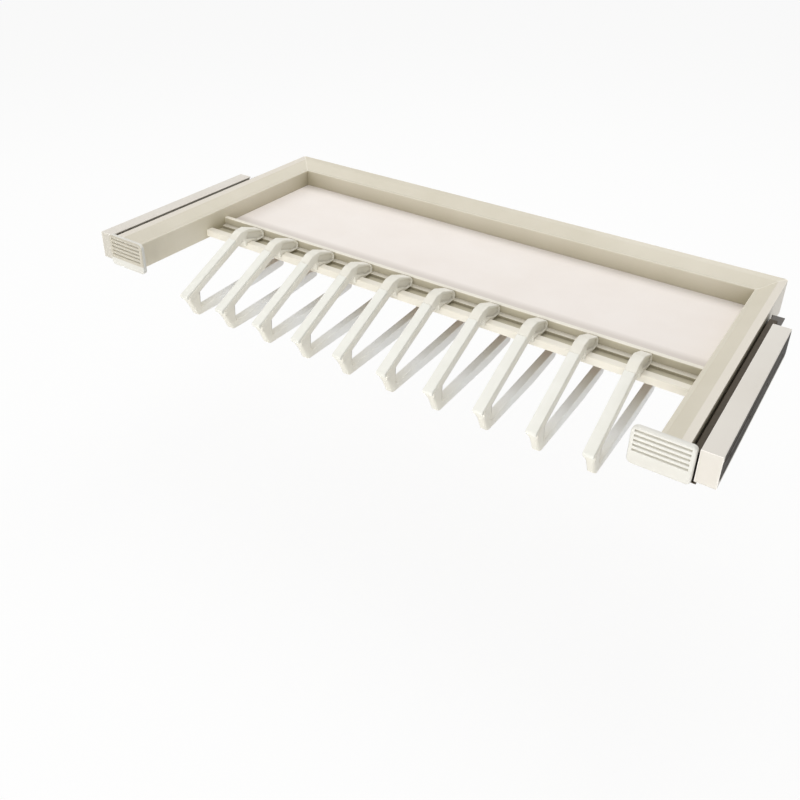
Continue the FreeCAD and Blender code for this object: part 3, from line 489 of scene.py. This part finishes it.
# wall rails with the thin flanges that clamp the covers' sides
wallFlange = {"thickMm": 0.3, "lowMm": 70.5, "highMm": 101.0, "frontGapMm": 4.5}


def addBox(net, low, high):
    for vert in bmesh.ops.create_cube(net, size=1.0)["verts"]:
        vert.co = Vector([low[i] + (vert.co[i] + 0.5) * (high[i] - low[i]) for i in range(3)])


def flangedRail(name, spec):
    source = nodes[name]
    net = netOf(name)
    low, high = ([bound(vert.co[i] for vert in net.verts) for i in range(3)] for bound in (min, max))
    front, back = low[1] + spec["frontGapMm"] * mm, high[1]
    thick = spec["thickMm"] * mm
    left, right = (low[0], low[0] + thick) if low[0] < 0 else (high[0] - thick, high[0])
    addBox(net, (left, front, spec["lowMm"] * mm), (right, back, low[2]))
    addBox(net, (left, front, high[2]), (right, back, spec["highMm"] * mm))
    piece = showNet(net, name + "Flanged")
    dress(piece, finishFor(name))
    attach(piece, bodyOf(source))
    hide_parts(name)


for side in ("left", "right"):
    flangedRail(side + "_wall_rail", wallFlange)
print("stage: wall rails flanged")


# screws and bearing balls: one shape each, set on its places by Geometry Nodes
def islandsOf(name):  # vertex places of each loose part of a node
    net = netOf(name)
    seen, islands = set(), []
    for start in net.verts:
        if start in seen:
            continue
        seen.add(start)
        waiting, island = [start], []
        while waiting:
            vert = waiting.pop()
            island.append(vert.co.copy())
            for edge in vert.link_edges:
                other = edge.other_vert(vert)
                if other not in seen:
                    seen.add(other)
                    waiting.append(other)
        islands.append(island)
    net.free()
    return islands


def boundsOf(places):
    return [(min(place[i] for place in places), max(place[i] for place in places)) for i in range(3)]


def startTree(name, inputs):
    tree = bpy.data.node_groups.new(name, "GeometryNodeTree")
    tree.interface.new_socket("Geometry", in_out="INPUT", socket_type="NodeSocketGeometry")
    for label, kind in inputs.items():
        tree.interface.new_socket(label, in_out="INPUT", socket_type="NodeSocket" + kind)
    tree.interface.new_socket("Geometry", in_out="OUTPUT", socket_type="NodeSocketGeometry")
    return tree, addNode(tree, "NodeGroupInput").outputs


def endTree(tree, given, shape):  # the shape on every seat, turned its seat's way, as plain mesh
    way = addNode(tree, "GeometryNodeInputNamedAttribute", {"data_type": "FLOAT_VECTOR", "Name": "way"})
    turned = addNode(tree, "FunctionNodeAlignRotationToVector", {"axis": "Z"},
                     {"Vector": way.outputs["Attribute"]})
    placed = addNode(tree, "GeometryNodeInstanceOnPoints", {},
                     {"Points": given["Geometry"], "Instance": shape, "Rotation": turned.outputs["Rotation"]})
    whole = addNode(tree, "GeometryNodeRealizeInstances", {}, {"Geometry": placed.outputs["Instances"]})
    painted = addNode(tree, "GeometryNodeSetMaterial", {},
                      {"Geometry": whole.outputs["Geometry"], "Material": given["Material"]})
    addNode(tree, "NodeGroupOutput", {}, {"Geometry": painted.outputs["Geometry"]})


def grow(name, tree, seats, values):
    mesh = bpy.data.meshes.new(name + "Seats")
    mesh.from_pydata([seat for seat, way in seats], [], [])
    ways = mesh.attributes.new("way", "FLOAT_VECTOR", "POINT")
    ways.data.foreach_set("vector", [part for seat, way in seats for part in way])
    piece = bpy.data.objects.new(name + "Grown", mesh)
    bpy.context.scene.collection.objects.link(piece)
    modifier = piece.modifiers.new("grow", "NODES")
    modifier.node_group = tree
    for item in tree.interface.items_tree:
        if item.in_out == "INPUT" and item.name in values:
            modifier[item.identifier] = values[item.name]
    graph = bpy.context.evaluated_depsgraph_get()
    grown = bpy.data.meshes.new_from_object(piece.evaluated_get(graph), depsgraph=graph)
    piece.modifiers.remove(modifier)
    piece.data = grown
    smoothMesh(grown)
    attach(piece, bodyOf(nodes[name]))
    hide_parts(name)


ballShape = {"segments": 20, "way": Vector((0, 0, 1))}


def ballTree():
    tree, given = startTree("bearingBalls", {"Radius": "Float", "Segments": "Int", "Material": "Material"})
    ball = addNode(tree, "GeometryNodeMeshUVSphere", {},
                   {"Segments": given["Segments"], "Rings": given["Segments"], "Radius": given["Radius"]})
    endTree(tree, given, ball.outputs["Mesh"])
    return tree


balls = ballTree()
for side in ("left", "right"):
    for ring in ("outer", "inner"):
        name = "%s_%s_balls" % (side, ring)
        boxes = [boundsOf(island) for island in islandsOf(name)]
        middles = [Vector([(low + high) / 2 for low, high in box]) for box in boxes]
        radius = max(high - low for low, high in boxes[0]) / 2
        grow(name, balls, [(middle, ballShape["way"]) for middle in middles],
             {"Radius": radius, "Segments": ballShape["segments"], "Material": finishFor(name)})

screwShape = {
    "headSides": 32, "domeRings": 8, "domeShare": 0.28, "domePower": 3.0,
    "recessShare": 0.4, "recessLongShare": 1.15, "recessDepthShare": 0.6,  # of the head's radius and height
    "shankSides": 20, "pitchMm": 1.1, "threadMm": 0.3, "threadSides": 4, "turnPoints": 18,
    "threadedShare": 0.82, "tipShare": 0.94,  # of the shank's length: threaded, and from the seat to its tip
    "headShare": 1.3, "leastRadiusMm": 0.5,  # what counts as head, and as shank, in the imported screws
}


def screwTree(shape):
    # pan head above the seat with a cross recess, threaded shank below it
    tree, given = startTree("panScrews", {
        "Head Radius": "Float", "Head Height": "Float", "Shank Radius": "Float", "Shank Length": "Float",
        "Thread Pitch": "Float", "Thread Depth": "Float", "Recess Width": "Float", "Recess Depth": "Float",
        "Material": "Material"})
    blank = addNode(tree, "GeometryNodeMeshCone",
                    {"Vertices": shape["headSides"], "Side Segments": shape["domeRings"], "Fill Segments": 1},
                    {"Radius Top": given["Head Radius"], "Radius Bottom": given["Head Radius"],
                     "Depth": given["Head Height"]})
    place = addNode(tree, "GeometryNodeInputPosition").outputs["Position"]
    height = addNode(tree, "ShaderNodeSeparateXYZ", {}, {"Vector": place}).outputs["Z"]
    rise = addNode(tree, "ShaderNodeMath", {"operation": "DIVIDE"}, {0: height, 1: given["Head Height"]})
    bent = addNode(tree, "ShaderNodeMath", {"operation": "POWER", 1: shape["domePower"]},
                   {0: rise.outputs["Value"]})
    narrow = addNode(tree, "ShaderNodeMath", {"operation": "MULTIPLY_ADD", 1: -shape["domeShare"], 2: 1.0},
                     {0: bent.outputs["Value"]}).outputs["Value"]
    slim = addNode(tree, "ShaderNodeCombineXYZ", {"Z": 1.0}, {"X": narrow, "Y": narrow})
    domed = addNode(tree, "ShaderNodeVectorMath", {"operation": "MULTIPLY"}, {0: place, 1: slim.outputs["Vector"]})
    head = addNode(tree, "GeometryNodeSetPosition", {},
                   {"Geometry": blank.outputs["Mesh"], "Position": domed.outputs["Vector"]}).outputs["Geometry"]

    # two crossed bars, with their middles at the head's top, cut the recess
    wide = given["Recess Width"]
    long = addNode(tree, "ShaderNodeMath", {"operation": "MULTIPLY", 1: shape["recessLongShare"]},
                   {0: given["Head Radius"]}).outputs["Value"]
    tall = addNode(tree, "ShaderNodeMath", {"operation": "MULTIPLY", 1: 2.0},
                   {0: given["Recess Depth"]}).outputs["Value"]
    top = addNode(tree, "ShaderNodeCombineXYZ", {}, {"Z": given["Head Height"]})
    for across, deep in ((long, wide), (wide, long)):
        size = addNode(tree, "ShaderNodeCombineXYZ", {}, {"X": across, "Y": deep, "Z": tall})
        bar = addNode(tree, "GeometryNodeMeshCube", {}, {"Size": size.outputs["Vector"]})
        raised = addNode(tree, "GeometryNodeTransform", {},
                         {"Geometry": bar.outputs["Mesh"], "Translation": top.outputs["Vector"]})
        head = addNode(tree, "GeometryNodeMeshBoolean", {"operation": "DIFFERENCE"},
                       {"Mesh 1": head, "Mesh 2": raised.outputs["Geometry"]}).outputs["Mesh"]

    core = addNode(tree, "ShaderNodeMath", {"operation": "SUBTRACT"},
                   {0: given["Shank Radius"], 1: given["Thread Depth"]}).outputs["Value"]
    rod = addNode(tree, "GeometryNodeMeshCylinder", {"Vertices": shape["shankSides"]},
                  {"Radius": core, "Depth": given["Shank Length"]})
    halfDown = addNode(tree, "ShaderNodeMath", {"operation": "MULTIPLY", 1: -0.5}, {0: given["Shank Length"]})
    rodPlace = addNode(tree, "ShaderNodeCombineXYZ", {}, {"Z": halfDown.outputs["Value"]})
    shank = addNode(tree, "GeometryNodeTransform", {},
                    {"Geometry": rod.outputs["Mesh"], "Translation": rodPlace.outputs["Vector"]})

    threaded = addNode(tree, "ShaderNodeMath", {"operation": "MULTIPLY", 1: shape["threadedShare"]},
                       {0: given["Shank Length"]}).outputs["Value"]
    turns = addNode(tree, "ShaderNodeMath", {"operation": "DIVIDE"}, {0: threaded, 1: given["Thread Pitch"]})
    helix = addNode(tree, "GeometryNodeCurveSpiral", {"Resolution": shape["turnPoints"]},
                    {"Rotations": turns.outputs["Value"], "Start Radius": core, "End Radius": core,
                     "Height": threaded})
    ridge = addNode(tree, "GeometryNodeCurvePrimitiveCircle", {"Resolution": shape["threadSides"]},
                    {"Radius": given["Thread Depth"]})
    coil = addNode(tree, "GeometryNodeCurveToMesh", {"Fill Caps": True},
                   {"Curve": helix.outputs["Curve"], "Profile Curve": ridge.outputs["Curve"]})
    tipDown = addNode(tree, "ShaderNodeMath", {"operation": "MULTIPLY", 1: -shape["tipShare"]},
                      {0: given["Shank Length"]})
    coilPlace = addNode(tree, "ShaderNodeCombineXYZ", {}, {"Z": tipDown.outputs["Value"]})
    thread = addNode(tree, "GeometryNodeTransform", {},
                     {"Geometry": coil.outputs["Mesh"], "Translation": coilPlace.outputs["Vector"]})

    screw = addNode(tree, "GeometryNodeJoinGeometry")
    for part in (head, shank.outputs["Geometry"], thread.outputs["Geometry"]):
        tree.links.new(part, screw.inputs["Geometry"])
    endTree(tree, given, screw.outputs["Geometry"])
    return tree


def measureScrew(island, shape):
    # the axis is the odd one of the three extents, the head is what stands out beyond the shank
    box = boundsOf(island)
    spans = [high - low for low, high in box]
    axis = min(range(3), key=lambda i: abs(spans[(i + 1) % 3] - spans[(i + 2) % 3]))
    middle = Vector([(low + high) / 2 for low, high in box])
    reach = [math.hypot(*[place[i] - middle[i] for i in range(3) if i != axis]) for place in island]
    shank = min(value for value in reach if value > shape["leastRadiusMm"] * mm)
    heads = [place[axis] for place, value in zip(island, reach) if value > shank * shape["headShare"]]
    low, high = min(heads), max(heads)
    upward = box[axis][1] - high < low - box[axis][0]
    way, seat = Vector((0, 0, 0)), middle.copy()
    way[axis] = 1.0 if upward else -1.0
    seat[axis] = low if upward else high
    return {"seat": seat, "way": way, "head": max(reach), "height": high - low, "shank": shank,
            "length": spans[axis] - (high - low)}


screws = screwTree(screwShape)
for name in ("runner_screws", "tail_screws", "arm_screws", "tray_screws", "cross_rail_screws"):
    found = [measureScrew(island, screwShape) for island in islandsOf(name)]
    first = found[0]
    grow(name, screws, [(screw["seat"], screw["way"]) for screw in found],
         {"Head Radius": first["head"], "Head Height": first["height"], "Shank Radius": first["shank"],
          "Shank Length": first["length"], "Thread Pitch": screwShape["pitchMm"] * mm,
          "Thread Depth": screwShape["threadMm"] * mm, "Recess Width": first["head"] * screwShape["recessShare"],
          "Recess Depth": first["height"] * screwShape["recessDepthShare"], "Material": finishFor(name)})
print("stage: screws and balls grown")

studio = {
    "floorHeight": -0.30, "floorSize": 50.0, "floorWhite": "#F7F7F5", "floorRoughness": 0.9, "floorIor": 1.4,
    "shadowShare": 0.12, "skyStrength": 0.575, "aim": (0.0, 0.0, 0.05),
    "lamps": [
        # place, size (m), power (W)
        ((0.0, 1.3, 2.0), 1.2, 16.5),
        ((-1.7, 0.3, 1.5), 1.2, 7.0),
        ((0.0, -1.0, 2.2), 1.2, 6.0),
        ((0.3, -2.3, -0.05), 1.0, 28.0),
    ],
}


def makeStudio(spec):
    half = spec["floorSize"] / 2
    mesh = bpy.data.meshes.new("floor")
    corners = [(-half, -half), (half, -half), (half, half), (-half, half)]
    mesh.from_pydata([(x, y, spec["floorHeight"]) for x, y in corners], [], [(0, 1, 2, 3)])
    floor = bpy.data.objects.new("floor", mesh)
    bpy.context.scene.collection.objects.link(floor)
    material, tree, shader, place = startMaterial("whitePaper", spec["floorRoughness"], spec["floorIor"])
    shader.inputs["Base Color"].default_value = srgb(spec["floorWhite"])
    white = addNode(tree, "ShaderNodeEmission", {"Color": (1, 1, 1, 1), "Strength": 1.0})
    path = addNode(tree, "ShaderNodeLightPath")
    seen = addNode(tree, "ShaderNodeMath", {"operation": "MAXIMUM"},
                   {0: path.outputs["Is Camera Ray"], 1: path.outputs["Is Glossy Ray"]})
    share = addNode(tree, "ShaderNodeMath", {"operation": "MULTIPLY", 1: 1 - spec["shadowShare"]},
                    {0: seen.outputs["Value"]})
    blend = addNode(tree, "ShaderNodeMixShader", {},
                    {0: share.outputs["Value"], 1: shader.outputs["BSDF"], 2: white.outputs["Emission"]})
    tree.links.new(blend.outputs["Shader"], tree.nodes["Material Output"].inputs["Surface"])
    dress(floor, material)
    world = bpy.data.worlds.new("studioSky")
    world.use_nodes = True
    sky = world.node_tree.nodes["Background"]
    sky.inputs["Color"].default_value = (1.0, 1.0, 1.0, 1.0)
    sky.inputs["Strength"].default_value = spec["skyStrength"]
    bpy.context.scene.world = world
    for number, (place, size, power) in enumerate(spec["lamps"]):
        data = bpy.data.lights.new("softbox%d" % number, "AREA")
        data.shape, data.size, data.energy = "SQUARE", size, power
        lamp = bpy.data.objects.new(data.name, data)
        lamp.location = place
        lamp.rotation_euler = (Vector(spec["aim"]) - Vector(place)).to_track_quat("-Z", "Y").to_euler()
        bpy.context.scene.collection.objects.link(lamp)


makeStudio(studio)
bpy.context.scene.view_settings.view_transform = "Standard"
print("stage: studio set")
